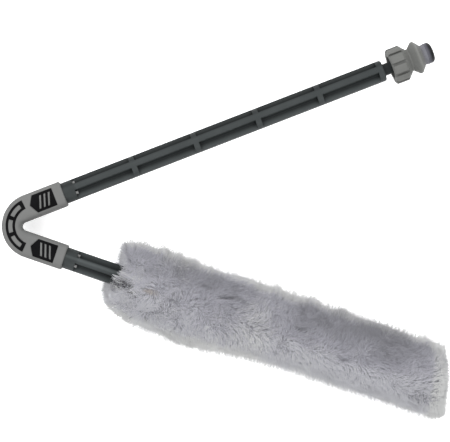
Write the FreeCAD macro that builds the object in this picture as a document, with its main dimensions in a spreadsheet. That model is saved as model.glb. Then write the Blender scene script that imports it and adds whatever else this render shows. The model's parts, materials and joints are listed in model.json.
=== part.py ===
import FreeCAD, Part
import math
import os

import Sketcher
from FreeCAD import Placement, Rotation, Vector

# Folding swab brush: two ribbed arms joined by a rubber bend, one carrying a soft squeegee head and
# the other a fleece sleeve. Every arm piece is drawn in its arm's own frame: the pivot of that arm's
# half of the bend is the origin, X runs out along the arm, Y lies in the plane of the two arms and
# points away from the other arm, and Z is square to that plane.

doc = FreeCAD.newDocument("FoldingSwabBrush")

# ---------------------------------------------------------------- driving dimensions (mm, degrees)

DIMENSIONS = [
    # the two arms and the way they lie
    ("half_angle", 20.0),  # half of the angle between the arms at rest
    ("turn_on_floor", 1.175),  # the bisector of the arms, from the X axis
    ("pivot_half_gap", 6.87),  # half of the distance between the two pivots
    ("axis_height", 15.0),  # the swab arm's axis above the floor
    ("squeegee_roll", -12.0),  # how far the squeegee arm's ribs are rolled about its axis
    ("swab_roll", -6.0),
    # ribbed arms
    ("arm_across", 11.4),
    ("rib_thick", 3.3),
    ("rib_root_round", 0.9),
    ("pocket_start", 35.7),
    ("pocket_long", 32.1),
    ("pocket_pitch", 35.1),
    ("pocket_count", 5),
    ("arm_end", 211.4),
    ("swab_arm_end", 224.0),
    ("swab_arm_nose", 3.0),
    # tenon of each arm, buried in the rubber
    ("tenon_start", 12.5),
    ("tenon_across", 6.4),
    ("tenon_barb_across", 9.0),
    ("tenon_barb_long", 2.0),
    ("tenon_neck_long", 4.2),
    ("tenon_neck_across", 5.4),
    # rubber hinge
    ("leg_start", 9.5),
    ("leg_end", 29.5),
    ("leg_wide", 13.6),
    ("leg_deep", 13.0),
    ("leg_round", 3.0),
    ("leg_mouth_round", 0.9),
    ("bend_outer", 17.4),
    ("bend_outer_centre", 12.1),
    ("crease_round", 2.24),
    # lock plugs: rubber that fills the four holes through each arm's first solid block
    ("plug_across", 1.7),
    ("plug_circle", 7.8),
    ("plug_end", 37.0),
    # inlays
    ("inlay_deep", 0.7),
    ("inlay_start", 11.0),
    ("inlay_end", 24.4),
    ("inlay_wide", 9.4),
    ("inlay_point", 2.6),
    ("inlay_frame", 1.2),
    ("inlay_bar", 1.1),
    ("inlay_slant", 2.2),
    ("crescent_outer", 14.9),
    ("crescent_inner", 10.1),
    ("crescent_reach", 64.0),
    ("crescent_bar", 8.0),
    # post of the squeegee arm, squeegee head and tip cap
    ("post_across", 6.4),
    ("post_end", 238.0),
    ("cap_seat_across", 4.6),
    ("cap_start", 235.8),
    ("cap_end", 239.6),
    ("cap_across", 11.3),
    ("cap_round", 2.2),
    ("head_start", 215.8),
    ("collar_across", 19.4),
    ("collar_end", 222.9),
    ("groove_start", 226.2),
    ("groove_end", 227.0),
    ("groove_across", 12.2),
    ("rim_start", 229.9),
    ("rim_end", 231.1),
    ("rim_across", 17.7),
    ("nose_start", 234.1),
    ("nose_across", 11.2),
    ("skirt_across", 12.4),
    ("skirt_deep", 3.0),
    ("lobe_count", 10),
    ("lobe_notch", 1.7),
    ("lobe_floor", 16.8),
    ("lobe_roll", 1.0),
    # fleece sleeve
    ("sleeve_mouth", 55.6),
    ("sleeve_end", 240.6),
    ("pile_wide", 41.5),
    ("pile_high", 33.0),
    ("pile_round", 13.5),
    ("pile_end_round", 8.0),
    ("backing_mouth", 57.6),
    ("backing_end", 226.0),
    ("backing_bore", 11.5),
    ("backing_across", 14.0),
    ("seam_across", 0.8),
]


class Size:
    """A length or a count that keeps its number together with the spreadsheet expression behind it."""

    def __init__(self, text, number):
        self.text = text
        self.number = number

    def joined(self, other, sign, number):
        other_text = other.text if isinstance(other, Size) else repr(other)
        return Size(f"({self.text} {sign} {other_text})", number)

    def __add__(self, other):
        return self.joined(other, "+", self.number + as_number(other))

    def __sub__(self, other):
        return self.joined(other, "-", self.number - as_number(other))

    def __mul__(self, other):
        return self.joined(other, "*", self.number * as_number(other))

    def __truediv__(self, other):
        return self.joined(other, "/", self.number / as_number(other))

    def __neg__(self):
        return Size(f"(-{self.text})", -self.number)


def as_number(value):
    return value.number if isinstance(value, Size) else value


def make_sheet():
    """Writes the driving dimensions into a spreadsheet, one aliased cell each."""
    sheet = doc.addObject("Spreadsheet::Sheet", "Dims")
    for row, (alias, number) in enumerate(DIMENSIONS, start=1):
        sheet.set(f"A{row}", alias)
        sheet.set(f"B{row}", str(number))
        sheet.setAlias(f"B{row}", alias)
    doc.recompute()
    return sheet


sheet = make_sheet()
ZERO = Size("0", 0.0)


def size(alias):
    return Size(f"Dims.{alias}", float(sheet.get(alias)))


# ---------------------------------------------------------------- sketch and feature helpers


def new_body(label):
    body = doc.addObject("PartDesign::Body", label)
    body.Label = label
    return body


def origin_of(body, role):
    return next(f for f in body.Origin.OriginFeatures if f.Role == role)


def new_sketch(body, name, role, along=ZERO):
    """A sketch on one of the body's own origin planes, moved along the plane's normal."""
    sketch = body.newObject("Sketcher::SketchObject", name)
    sketch.AttachmentSupport = [(origin_of(body, role), "")]
    sketch.MapMode = "FlatFace"
    if along.number:
        sketch.AttachmentOffset = Placement(Vector(0, 0, along.number), Rotation())
        sketch.setExpression("AttachmentOffset.Base.z", along.text)
    return sketch


def bind(sketch, kind, *where, value):
    """Adds one dimension to a sketch and ties it to the spreadsheet."""
    index = sketch.addConstraint(Sketcher.Constraint(kind, *where, value.number))
    sketch.setExpression(f"Constraints[{index}]", value.text)


def outline(sketch, corners, arcs=None):
    """Draws a closed outline through corners, (x, y) pairs of Size. arcs maps the number of an edge
    to (centre x, centre y, radius, turns_left) where that edge is round."""
    arcs = arcs or {}
    ends = []
    for i, (x, y) in enumerate(corners):
        start = Vector(x.number, y.number, 0)
        after = corners[(i + 1) % len(corners)]
        stop = Vector(after[0].number, after[1].number, 0)
        if i in arcs:
            cx, cy, radius, left = arcs[i]
            circle = Part.Circle(Vector(cx.number, cy.number, 0), Vector(0, 0, 1), radius.number)
            first, last = (start, stop) if left else (stop, start)
            curve = Part.ArcOfCircle(circle, circle.parameter(first), circle.parameter(last))
            geo = sketch.addGeometry(curve, False)
            ends.append((geo, 1, 2) if left else (geo, 2, 1))
        else:
            geo = sketch.addGeometry(Part.LineSegment(start, stop), False)
            ends.append((geo, 1, 2))
    for i, (x, y) in enumerate(corners):
        geo, first, _ = ends[i]
        before, _, before_last = ends[i - 1]
        sketch.addConstraint(Sketcher.Constraint("Coincident", before, before_last, geo, first))
        bind(sketch, "DistanceX", -1, 1, geo, first, value=x)
        bind(sketch, "DistanceY", -1, 1, geo, first, value=y)
    for i, (cx, cy, radius, left) in arcs.items():
        bind(sketch, "Radius", ends[i][0], value=radius)


def circle_in(sketch, x, y, across):
    centre = Vector(x.number, y.number, 0)
    geo = sketch.addGeometry(Part.Circle(centre, Vector(0, 0, 1), across.number / 2), False)
    bind(sketch, "DistanceX", -1, 1, geo, 3, value=x)
    bind(sketch, "DistanceY", -1, 1, geo, 3, value=y)
    bind(sketch, "Diameter", geo, value=across)


def rounded_box(sketch, left, right, bottom, top, radius):
    """A rectangle with four equal round corners."""
    corners = [
        (left + radius, bottom),
        (right - radius, bottom),
        (right, bottom + radius),
        (right, top - radius),
        (right - radius, top),
        (left + radius, top),
        (left, top - radius),
        (left, bottom + radius),
    ]
    arcs = {
        1: (right - radius, bottom + radius, radius, True),
        3: (right - radius, top - radius, radius, True),
        5: (left + radius, top - radius, radius, True),
        7: (left + radius, bottom + radius, radius, True),
    }
    outline(sketch, corners, arcs)


def feature(body, kind, name, sketch):
    made = body.newObject(f"PartDesign::{kind}", name)
    made.Profile = sketch
    return made


def pad(body, name, sketch, length, both_ways=False, backwards=False):
    made = feature(body, "Pad", name, sketch)
    made.Length = length.number
    made.setExpression("Length", length.text)
    made.Midplane = both_ways
    made.Reversed = backwards
    doc.recompute()
    return made


def pocket(body, name, sketch, length, backwards=False):
    """A pocket that has to take something away, whichever way it points."""
    before = body.Shape.Volume
    made = feature(body, "Pocket", name, sketch)
    made.Length = length.number
    made.setExpression("Length", length.text)
    made.Reversed = backwards
    doc.recompute()
    if not body.Shape.Volume < before - 1e-6:
        raise RuntimeError(f"{body.Label}: {name} cuts nothing")
    return made


def spin(body, kind, name, sketch):
    """A Revolution or Groove about the sketch's own horizontal axis."""
    before = body.Shape.Volume if body.Tip else 0.0
    made = feature(body, kind, name, sketch)
    made.ReferenceAxis = (sketch, ["H_Axis"])
    made.Angle = 360.0
    doc.recompute()
    if kind == "Groove" and not body.Shape.Volume < before - 1e-6:
        raise RuntimeError(f"{body.Label}: {name} cuts nothing")
    return made


def round_edges(body, name, radius, wanted):
    """Fillets the edges of the body's last feature that wanted() picks."""
    base = body.Tip
    names = [f"Edge{i}" for i, edge in enumerate(base.Shape.Edges, start=1) if wanted(edge)]
    made = body.newObject("PartDesign::Fillet", name)
    made.Base = (base, names)
    made.Radius = radius.number
    made.setExpression("Radius", radius.text)
    doc.recompute()
    return made


def flat_at_x(x):
    """Picks edges that lie in the plane at this distance along the arm."""

    def wanted(edge):
        middle = edge.valueAt((edge.FirstParameter + edge.LastParameter) / 2)
        places = [v.X for v in edge.Vertexes] + [middle.x]
        return all(abs(place - x.number) < 1e-4 for place in places)

    return wanted


# ---------------------------------------------------------------- arms


def tenon_corners():
    """The barbed tenon's half outline, from its blunt end out to the arm's shoulder."""
    start, barb = size("tenon_start"), size("tenon_barb_long")
    slim, fat = size("tenon_across") / 2, size("tenon_barb_across") / 2
    neck = size("tenon_neck_across") / 2
    neck_start = size("leg_end") - size("tenon_neck_long")
    return [
        (start, ZERO),
        (start, slim),
        (start + barb, fat),
        (start + barb * 1.5, fat),
        (start + barb * 1.5, slim),
        (neck_start - barb, slim),
        (neck_start - barb, fat),
        (neck_start, fat),
        (neck_start, neck),
        (size("leg_end"), neck),
    ]


def plug_places():
    """The four lock plugs sit in the four corners between the ribs."""
    reach = size("plug_circle") / 2 * round(math.sqrt(0.5), 6)
    return [(reach, reach), (-reach, reach), (-reach, -reach), (reach, -reach)]


def cut_pockets(body):
    """Four pockets round the arm leave a cross of ribs; the row of them leaves bulkheads between."""
    near = size("rib_thick") / 2
    far = size("arm_across")
    turn = size("rib_root_round")
    sketch = new_sketch(body, "PocketSketch", "YZ_Plane", size("pocket_start"))
    for sign_y, sign_z in ((1, 1), (-1, 1), (-1, -1), (1, -1)):
        left = sign_y * sign_z > 0
        corners = [
            ((near + turn) * sign_y, near * sign_z),
            (far * sign_y, near * sign_z),
            (far * sign_y, far * sign_z),
            (near * sign_y, far * sign_z),
            (near * sign_y, (near + turn) * sign_z),
        ]
        arcs = {4: ((near + turn) * sign_y, (near + turn) * sign_z, turn, left)}
        outline(sketch, corners, arcs)
    first = pocket(body, "Pockets", sketch, size("pocket_long"), backwards=True)
    row = body.newObject("PartDesign::LinearPattern", "PocketRow")
    row.Originals = [first]
    row.Direction = (origin_of(body, "X_Axis"), [""])
    count = size("pocket_count")
    row.Occurrences = int(count.number)
    row.setExpression("Occurrences", count.text)
    reach = size("pocket_pitch") * (count - 1)
    row.Length = reach.number
    row.setExpression("Length", reach.text)
    body.Tip = row
    doc.recompute()


def cut_plug_holes(body):
    sketch = new_sketch(body, "PlugHoleSketch", "YZ_Plane", size("leg_end") - 0.5)
    for y, z in plug_places():
        circle_in(sketch, y, z, size("plug_across"))
    block = size("pocket_start") - size("leg_end") + 1.0
    pocket(body, "PlugHoles", sketch, block, backwards=True)


def make_arm(label, end_corners):
    body = new_body(label)
    sketch = new_sketch(body, "Profile", "XY_Plane")
    outer = size("arm_across") / 2
    outline(sketch, tenon_corners() + [(size("leg_end"), outer)] + end_corners)
    spin(body, "Revolution", "Turned", sketch)
    cut_pockets(body)
    cut_plug_holes(body)
    return body


def make_squeegee_arm():
    post = size("post_across") / 2
    seat = size("cap_seat_across") / 2
    return make_arm(
        "squeegee_arm",
        [
            (size("arm_end") - 0.5, size("arm_across") / 2),
            (size("arm_end"), size("arm_across") / 2 - 0.5),
            (size("arm_end"), post),
            (size("cap_start"), post),
            (size("cap_start"), seat),
            (size("post_end"), seat),
            (size("post_end"), ZERO),
        ],
    )


def make_swab_arm():
    end, nose = size("swab_arm_end"), size("swab_arm_nose")
    outer = size("arm_across") / 2
    return make_arm(
        "swab_arm",
        [(end - nose, outer), (end - nose / 3, outer - nose / 3), (end, outer - nose), (end, ZERO)],
    )


# ---------------------------------------------------------------- rubber hinge


def inlay_shape(sketch):
    """A pointed frame with slanted bars across it: an outline with three slanted windows."""
    start, end = size("inlay_start"), size("inlay_end")
    half, point = size("inlay_wide") / 2, size("inlay_point")
    rim, bar, slant = size("inlay_frame"), size("inlay_bar"), size("inlay_slant")
    outline(
        sketch,
        [
            (start, ZERO),
            (start + point, -half),
            (end, -half),
            (end, half),
            (start + point, half),
        ],
    )
    windows = 3
    first = start + point + rim
    room = (end - rim - slant - first - bar * (windows - 1)) / windows
    for i in range(windows):
        low = first + (room + bar) * i
        outline(
            sketch,
            [
                (low, -half + rim),
                (low + room, -half + rim),
                (low + room + slant, half - rim),
                (low + slant, half - rim),
            ],
        )


def make_leg(label):
    """One straight sleeve of the hinge, moulded round an arm's tenon, with a shallow bed for each inlay."""
    body = new_body(label)
    wide, deep = size("leg_wide") / 2, size("leg_deep") / 2
    section = new_sketch(body, "Section", "YZ_Plane", size("leg_start"))
    rounded_box(section, -wide, wide, -deep, deep, size("leg_round"))
    pad(body, "Sleeve", section, size("leg_end") - size("leg_start"))
    round_edges(body, "Mouth", size("leg_mouth_round"), flat_at_x(size("leg_end")))
    cavity = new_sketch(body, "Cavity", "XY_Plane")
    outline(cavity, tenon_corners() + [(size("leg_end"), ZERO)])
    spin(body, "Groove", "TenonBed", cavity)
    for name, side, backwards in (("Front", 1, False), ("Back", -1, True)):
        bed = new_sketch(body, f"{name}Bed", "XY_Plane", deep * side)
        inlay_shape(bed)
        pocket(body, f"{name}Recess", bed, size("inlay_deep"), backwards)
    return body


def make_inlay(label, side):
    body = new_body(label)
    sketch = new_sketch(body, "Shape", "XY_Plane", size("leg_deep") / 2 * side)
    inlay_shape(sketch)
    pad(body, "Plate", sketch, size("inlay_deep"), backwards=side > 0)
    return body


def polar(centre_x, radius, degrees):
    """A point on a circle about (centre_x, 0), counted from the far side of the bend."""
    angle = math.radians(degrees)
    return centre_x - radius * round(math.cos(angle), 6), radius * round(math.sin(angle), 6)


def arc_window(sketch, centre_x, outer, inner, first, last):
    """A closed piece of a ring between two directions, in degrees."""
    corners = [
        polar(centre_x, outer, first),
        polar(centre_x, outer, last),
        polar(centre_x, inner, last),
        polar(centre_x, inner, first),
    ]
    outline(
        sketch,
        corners,
        {0: (centre_x, ZERO, outer, False), 2: (centre_x, ZERO, inner, True)},
    )


def bend_inlay_shape(sketch):
    """A crescent that follows the outside of the bend, with three windows in it."""
    centre_x, rim = size("bend_outer_centre"), size("inlay_frame")
    outer, inner = size("crescent_outer"), size("crescent_inner")
    reach, bar = size("crescent_reach").number, size("crescent_bar").number
    arc_window(sketch, centre_x, outer, inner, -reach, reach)
    windows = 3
    each = (2 * reach - bar * (windows + 1)) / windows
    for i in range(windows):
        first = -reach + bar + (each + bar) * i
        arc_window(sketch, centre_x, outer - rim, inner + rim, first, first + each)


def make_bend():
    """The curved web between the two sleeves, in the frame of the two arms: X along their bisector."""
    body = new_body("hinge_bend")
    angle = math.radians(size("half_angle").number)
    along, across = round(math.cos(angle), 6), round(math.sin(angle), 6)
    leg, wide = size("leg_start"), size("leg_wide") / 2
    gap, turn = size("pivot_half_gap"), size("crease_round")
    inner_x, inner_y = leg * along + wide * across, gap + leg * across - wide * along
    outer_x, outer_y = leg * along - wide * across, gap + leg * across + wide * along
    vertex = (wide - gap * along) / across
    crease = vertex + turn / across
    touch_x, touch_y = crease - turn * across, turn * along
    arc_x = size("bend_outer_centre")
    arc = size("bend_outer")
    start_x, start_y = arc_x - arc * across, arc * along
    corners = [
        (touch_x, -touch_y),
        (inner_x, -inner_y),
        (outer_x, -outer_y),
        (start_x, -start_y),
        (start_x, start_y),
        (outer_x, outer_y),
        (inner_x, inner_y),
        (touch_x, touch_y),
    ]
    sketch = new_sketch(body, "Outline", "XY_Plane")
    arcs = {3: (arc_x, ZERO, arc, False), 7: (crease, ZERO, turn, True)}
    outline(sketch, corners, arcs)
    pad(body, "Web", sketch, size("leg_deep"), both_ways=True)
    edge_of_face = size("leg_deep").number / 2
    round_edges(
        body,
        "OuterRound",
        size("leg_round"),
        lambda edge: abs(abs(edge.BoundBox.ZMin) - edge_of_face) < 1e-4
        and edge.BoundBox.ZLength < 1e-4
        and edge.BoundBox.YLength > 2 * start_y.number - 1e-3,
    )
    for name, side, backwards in (("Front", 1, False), ("Back", -1, True)):
        bed = new_sketch(body, f"{name}Bed", "XY_Plane", size("leg_deep") / 2 * side)
        bend_inlay_shape(bed)
        pocket(body, f"{name}Recess", bed, size("inlay_deep"), backwards)
    return body


def make_bend_inlay(label, side):
    body = new_body(label)
    sketch = new_sketch(body, "Shape", "XY_Plane", size("leg_deep") / 2 * side)
    bend_inlay_shape(sketch)
    pad(body, "Plate", sketch, size("inlay_deep"), backwards=side > 0)
    return body


def make_plugs(label):
    body = new_body(label)
    sketch = new_sketch(body, "Plugs", "YZ_Plane", size("leg_end"))
    for y, z in plug_places():
        circle_in(sketch, y, z, size("plug_across"))
    body.AllowCompound = True
    pad(body, "Rods", sketch, size("plug_end") - size("leg_end"))
    return body


# ---------------------------------------------------------------- squeegee head and tip cap


def make_head():
    """Soft head: a lobed collar with a hollow back, a groove, and a double-cone wiping rim."""
    body = new_body("squeegee_head")
    bore = size("post_across") / 2
    back = size("head_start")
    skirt, skirt_end = size("skirt_across") / 2, size("head_start") + size("skirt_deep")
    sketch = new_sketch(body, "Profile", "XY_Plane")
    outline(
        sketch,
        [
            (skirt_end, bore),
            (skirt_end, skirt - 0.8),
            (back, skirt),
            (back, size("collar_across") / 2 - 0.8),
            (back + 0.8, size("collar_across") / 2),
            (size("collar_end"), size("collar_across") / 2),
            (size("groove_start"), size("groove_across") / 2),
            (size("groove_end"), size("groove_across") / 2),
            (size("rim_start"), size("rim_across") / 2),
            (size("rim_end"), size("rim_across") / 2),
            (size("nose_start"), size("nose_across") / 2 - 0.3),
            (size("cap_start"), size("nose_across") / 2),
            (size("cap_start"), bore),
        ],
    )
    spin(body, "Revolution", "Turned", sketch)
    notch = new_sketch(body, "Notch", "YZ_Plane", size("head_start") - 0.5)
    half = size("lobe_notch") / 2
    outline(
        notch,
        [
            (-half, size("lobe_floor") / 2),
            (half, size("lobe_floor") / 2),
            (half, size("collar_across")),
            (-half, size("collar_across")),
        ],
    )
    first = pocket(body, "NotchCut", notch, size("groove_start") - back, backwards=True)
    ring = body.newObject("PartDesign::PolarPattern", "Lobes")
    ring.Originals = [first]
    ring.Axis = (origin_of(body, "X_Axis"), [""])
    ring.Angle = 360.0
    ring.Occurrences = int(size("lobe_count").number)
    ring.setExpression("Occurrences", size("lobe_count").text)
    body.Tip = ring
    doc.recompute()
    return body


def make_cap():
    body = new_body("tip_cap")
    outer, seat, turn = size("cap_across") / 2, size("cap_seat_across") / 2, size("cap_round")
    start, end = size("cap_start"), size("cap_end")
    sketch = new_sketch(body, "Profile", "XY_Plane")
    corners = [
        (start, seat),
        (start, outer),
        (end - turn, outer),
        (end, outer - turn),
        (end, ZERO),
        (size("post_end"), ZERO),
        (size("post_end"), seat),
    ]
    outline(sketch, corners, {2: (end - turn, outer - turn, turn, False)})
    spin(body, "Revolution", "Turned", sketch)
    return body


# ---------------------------------------------------------------- fleece sleeve


def make_backing():
    """The knitted tube that carries the pile, closed at its far end."""
    body = new_body("fleece_backing")
    bore, outer = size("backing_bore") / 2, size("backing_across") / 2
    wall = outer - bore
    mouth, end = size("backing_mouth"), size("backing_end")
    sketch = new_sketch(body, "Profile", "XY_Plane")
    corners = [
        (mouth, bore),
        (mouth, outer),
        (end, outer),
        (end, ZERO),
        (end - wall, ZERO),
        (end - wall, bore),
    ]
    outline(sketch, corners)
    spin(body, "Revolution", "Turned", sketch)
    return body


def seam_height():
    return -(size("backing_across") / 2 + size("seam_across") / 4)


def make_seam():
    """The thread that closes the tube along its underside."""
    body = new_body("seam_thread")
    start = size("backing_mouth") + 2.0
    sketch = new_sketch(body, "Section", "YZ_Plane", start)
    circle_in(sketch, ZERO, seam_height(), size("seam_across"))
    pad(body, "Thread", sketch, size("backing_end") - 2.0 - start)
    return body


def make_pile():
    """The outer shape of the fleece, pressed flat where it lies, with a bore for its backing tube."""
    body = new_body("fleece_pile")
    half, floor = size("pile_wide") / 2, -size("axis_height")
    mouth, end = size("sleeve_mouth"), size("sleeve_end")
    section = new_sketch(body, "Section", "YZ_Plane", mouth)
    rounded_box(section, -half, half, floor, floor + size("pile_high"), size("pile_round"))
    pad(body, "Bulk", section, end - mouth)
    turn = size("pile_end_round")
    round_edges(body, "Ends", turn, lambda e: flat_at_x(mouth)(e) or flat_at_x(end)(e))
    bore = new_sketch(body, "Bore", "YZ_Plane", mouth - 1.0)
    circle_in(bore, ZERO, ZERO, size("backing_across"))
    pocket(body, "BackingBore", bore, size("backing_end") - mouth + 1.0, backwards=True)
    thread = new_sketch(body, "SeamSection", "YZ_Plane", size("backing_mouth") + 2.0)
    circle_in(thread, ZERO, seam_height(), size("seam_across"))
    pocket(body, "SeamChannel", thread, size("backing_end") - size("backing_mouth") - 4.0, backwards=True)
    return body


# ---------------------------------------------------------------- where everything lies


def turned(axis, degrees):
    return Placement(Vector(), Rotation(axis, degrees))


def moved(x, y, z):
    return Placement(Vector(x, y, z), Rotation())


X_AXIS, Z_AXIS = Vector(1, 0, 0), Vector(0, 0, 1)
HALF_ANGLE = size("half_angle").number
PIVOT = size("pivot_half_gap").number
HEIGHT = size("axis_height").number


def tilt_of_arms():
    """The plane of the arms leans over the swab arm until the collar of the head meets the floor."""
    angle = math.radians(HALF_ANGLE)
    side = 2 * PIVOT * math.cos(angle) + size("collar_end").number * math.sin(2 * angle)
    return math.degrees(math.asin((HEIGHT - size("collar_across").number / 2) / side))


def lay_swab_side():
    """From the frame of the two arms to the floor, before the lean."""
    return moved(0, 0, HEIGHT) * turned(Z_AXIS, size("turn_on_floor").number)


def swab_arm_frame(lean):
    """The swab arm's own frame; its Y is turned over so that it points away from the other arm."""
    arm = moved(0, -PIVOT, 0) * turned(Z_AXIS, -HALF_ANGLE) * turned(X_AXIS, -lean)
    return lay_swab_side() * arm


def arms_plane():
    """The frame of the two arms, leaned about the swab arm's axis."""
    to_arm = moved(0, -PIVOT, 0) * turned(Z_AXIS, -HALF_ANGLE)
    return swab_arm_frame(tilt_of_arms()) * to_arm.inverse()


def squeegee_arm_frame():
    return arms_plane() * moved(0, PIVOT, 0) * turned(Z_AXIS, HALF_ANGLE)


def place_all(parts, shift):
    """Gives every piece its place; shift moves the whole object at the end."""
    squeegee = squeegee_arm_frame()
    swab = swab_arm_frame(tilt_of_arms()) * turned(X_AXIS, 180)
    level = swab_arm_frame(0)
    squeegee_roll = turned(X_AXIS, size("squeegee_roll").number)
    swab_roll = turned(X_AXIS, size("swab_roll").number)
    head_roll = turned(X_AXIS, size("lobe_roll").number)
    places = {
        "squeegee_arm": squeegee * squeegee_roll,
        "squeegee_lock_plugs": squeegee * squeegee_roll,
        "squeegee_leg": squeegee,
        "squeegee_inlay_front": squeegee,
        "squeegee_inlay_back": squeegee,
        "squeegee_head": squeegee * head_roll,
        "tip_cap": squeegee,
        "swab_arm": swab * swab_roll,
        "swab_lock_plugs": swab * swab_roll,
        "swab_leg": swab,
        "swab_inlay_front": swab,
        "swab_inlay_back": swab,
        "fleece_backing": level,
        "fleece_pile": level,
        "seam_thread": level,
        "hinge_bend": arms_plane(),
        "bend_inlay_front": arms_plane(),
        "bend_inlay_back": arms_plane(),
    }
    for body in parts:
        body.Placement = Placement(shift, Rotation()) * places[body.Label]
    doc.recompute()


def check_all(parts):
    for item in doc.Objects:
        if {"Invalid", "Error"} & set(item.State):
            raise RuntimeError(f"{item.Label} is {item.State}")
    for body in parts:
        if body.Shape.isNull() or not body.Shape.isValid():
            raise RuntimeError(f"{body.Label} has no valid shape")


def main():
    parts = [
        make_squeegee_arm(),
        make_swab_arm(),
        make_leg("squeegee_leg"),
        make_leg("swab_leg"),
        make_bend(),
        make_plugs("squeegee_lock_plugs"),
        make_plugs("swab_lock_plugs"),
        make_inlay("squeegee_inlay_front", 1),
        make_inlay("squeegee_inlay_back", -1),
        make_inlay("swab_inlay_front", -1),
        make_inlay("swab_inlay_back", 1),
        make_bend_inlay("bend_inlay_front", 1),
        make_bend_inlay("bend_inlay_back", -1),
        make_head(),
        make_cap(),
        make_backing(),
        make_seam(),
        make_pile(),
    ]
    place_all(parts, Vector())
    box = FreeCAD.BoundBox()
    for body in parts:
        box.add(body.Shape.BoundBox)
    shift = Vector(-box.Center.x, -box.Center.y, -box.ZMin)
    place_all(parts, shift)
    check_all(parts)
    os.makedirs("parts", exist_ok=True)
    for body in parts:
        body.Shape.exportStep(f"parts/{body.Label}.step")
        print(body.Label, "solids", len(body.Shape.Solids), "volume", round(body.Shape.Volume, 1))
    plane = Placement(shift, Rotation()) * arms_plane()
    print("object", [round(v, 3) for v in (box.XLength, box.YLength, box.ZLength)], "lowest", box.ZMin)
    print("normal", list(plane.Rotation.multVec(Z_AXIS)))
    print("pivot_squeegee", list(plane.multVec(Vector(0, PIVOT, 0))))
    print("pivot_swab", list(plane.multVec(Vector(0, -PIVOT, 0))))
    rim = (size("rim_start").number + size("rim_end").number) / 2
    arm = Placement(shift, Rotation()) * squeegee_arm_frame()
    print("rim_centre", list(arm.multVec(Vector(rim, 0, 0))), "axis", list(arm.Rotation.multVec(X_AXIS)))
    level = Placement(shift, Rotation()) * swab_arm_frame(0)
    middle = (size("sleeve_mouth").number + size("sleeve_end").number) / 2
    print("base_face", list(level.multVec(Vector(middle, 0, -HEIGHT))))


main()
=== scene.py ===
import json
import math

import bmesh
import bpy
import numpy as np
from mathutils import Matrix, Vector, kdtree, noise


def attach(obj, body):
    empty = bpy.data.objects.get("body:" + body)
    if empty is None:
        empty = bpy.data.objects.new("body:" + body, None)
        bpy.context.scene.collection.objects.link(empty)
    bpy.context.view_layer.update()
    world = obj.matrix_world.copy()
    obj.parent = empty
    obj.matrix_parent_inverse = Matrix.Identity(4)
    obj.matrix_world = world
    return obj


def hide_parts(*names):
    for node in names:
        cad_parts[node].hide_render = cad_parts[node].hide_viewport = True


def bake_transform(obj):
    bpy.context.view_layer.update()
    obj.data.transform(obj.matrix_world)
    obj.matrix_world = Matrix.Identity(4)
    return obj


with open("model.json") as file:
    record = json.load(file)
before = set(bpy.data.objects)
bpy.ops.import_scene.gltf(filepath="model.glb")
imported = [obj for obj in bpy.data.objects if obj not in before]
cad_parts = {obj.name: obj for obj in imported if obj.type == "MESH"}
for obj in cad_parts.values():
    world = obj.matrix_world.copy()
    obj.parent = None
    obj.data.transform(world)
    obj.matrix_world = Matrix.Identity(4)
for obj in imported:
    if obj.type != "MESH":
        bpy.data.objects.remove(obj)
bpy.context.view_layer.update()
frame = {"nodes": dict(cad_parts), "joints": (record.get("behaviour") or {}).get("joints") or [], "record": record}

# Looks of the folding swab brush. Lengths are metres; MM turns millimetres into them.
MM = 0.001
SEED = 7

scene = bpy.context.scene
joints = {j["name"]: j for j in frame["joints"]}
mounts = {m["name"]: m for m in frame["record"]["mounts"]}
nodes = frame["nodes"]


# ---------------------------------------------------------------- places read from the frame


class Place:
    """A frame of its own: an origin and three axes in the row frame."""

    def __init__(self, origin, x, y, z):
        self.origin, self.x, self.y, self.z = Vector(origin), Vector(x), Vector(y), Vector(z)

    def row(self, points):
        """Points of this place, (n, 3) in metres, as row-frame points."""
        axes = np.array([self.x, self.y, self.z], float)
        return np.asarray(points, float) @ axes + np.array(self.origin, float)

    def span(self, node, axis):
        """How far a CAD node reaches along one of this place's axes, from its origin."""
        direction = np.array(getattr(self, axis), float)
        points = np.array([v.co for v in nodes[node].data.vertices], float)
        along = (points - np.array(self.origin, float)) @ direction
        return float(along.min()), float(along.max())


def find_places():
    """Each arm's own place has x along the arm and y away from the other arm."""
    pivot_squeegee = Vector(joints["squeegee_side_bend"]["pos_m"])
    pivot_swab = Vector(joints["swab_side_bend"]["pos_m"])
    normal = Vector(joints["swab_side_bend"]["axis"]).normalized()
    squeegee_x = Vector(mounts["squeegee_rim"]["axis"]).normalized()
    swab_x = Vector(mounts["base_face"]["pos_m"]) - pivot_swab
    swab_x.z = 0.0
    swab_x.normalize()
    across = (pivot_squeegee - pivot_swab).normalized()
    up = Vector((0, 0, 1))
    return {
        "squeegee": Place(pivot_squeegee, squeegee_x, normal.cross(squeegee_x), normal),
        "swab": Place(pivot_swab, swab_x, swab_x.cross(normal), normal),
        "bend": Place((pivot_squeegee + pivot_swab) / 2, across.cross(normal), across, normal),
        "pile": Place(pivot_swab, swab_x, swab_x.cross(up), up),
    }


places = find_places()

# Where looks change along an arm or away from its axis, as start and end in millimetres: painted shade in the
# arms' pockets and on their first block, the head's nose, the head's painted highlight by the wiping rim and the
# cap's painted shade round its end.
POCKET_SHADE_DEPTHS = (1.6, 5.5)
FIRST_BLOCK_SHADE_END = (35.5, 37.5)
HEAD_NOSE = (231.8, 234.8)
CAP_END_SHADE = (235.9, 238.2)
# Where the head has a painted highlight along its wiping rim:
RIDGE_HIGHLIGHT = (-0.2, 1.4)  # from the crest of the wiping rim


# ---------------------------------------------------------------- materials


def new_material(name):
    material = bpy.data.materials.new(name)
    material.use_nodes = True
    tree = material.node_tree
    return material, tree, tree.nodes["Principled BSDF"]


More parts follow.
